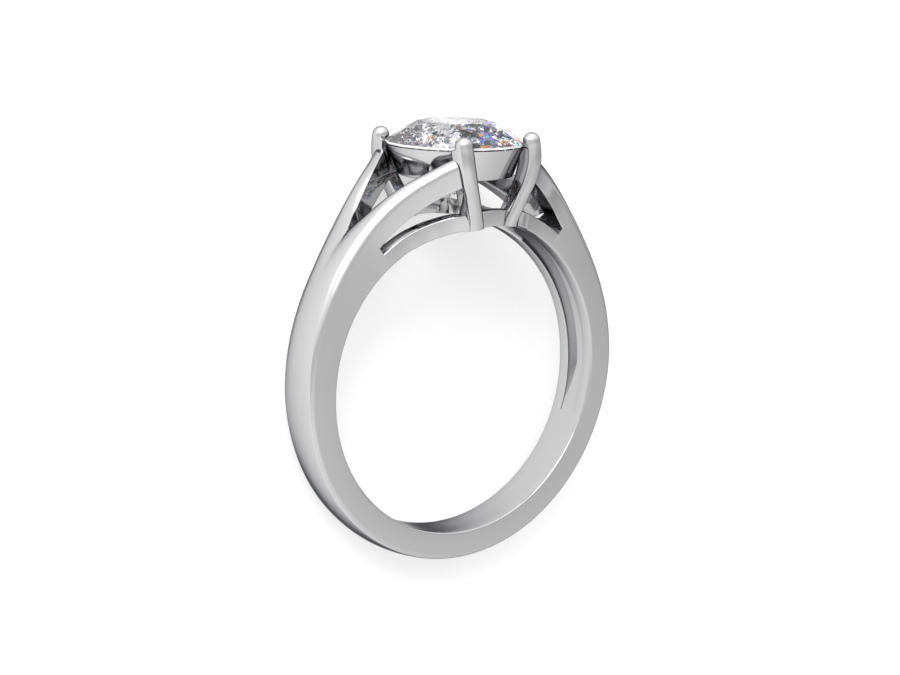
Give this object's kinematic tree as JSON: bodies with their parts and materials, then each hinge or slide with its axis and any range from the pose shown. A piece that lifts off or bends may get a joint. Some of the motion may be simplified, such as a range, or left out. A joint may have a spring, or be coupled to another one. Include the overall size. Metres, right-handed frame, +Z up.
{
  "type": "split shank solitaire ring",
  "caption": "Split shank finger ring with an oval faceted stone, held by round prongs over an oval collar between pierced shoulders.",
  "frame": {"origin": "centre of the bounding box's base, where the ring rests on its side", "axes": "+X across the finger, +Y from the foot of the shank to the stone, +Z up, 8.5 degrees off the axis of the finger hole"},
  "size_m": [0.0206, 0.0244, 0.0089],
  "materials": {
    "polished_silver": "mirror polished white metal",
    "clear_stone": "clear, faceted and polished"
  },
  "bodies": {
    "root": {"ring_body": "polished_silver", "stone": "clear_stone"}
  },
  "joints": []
}
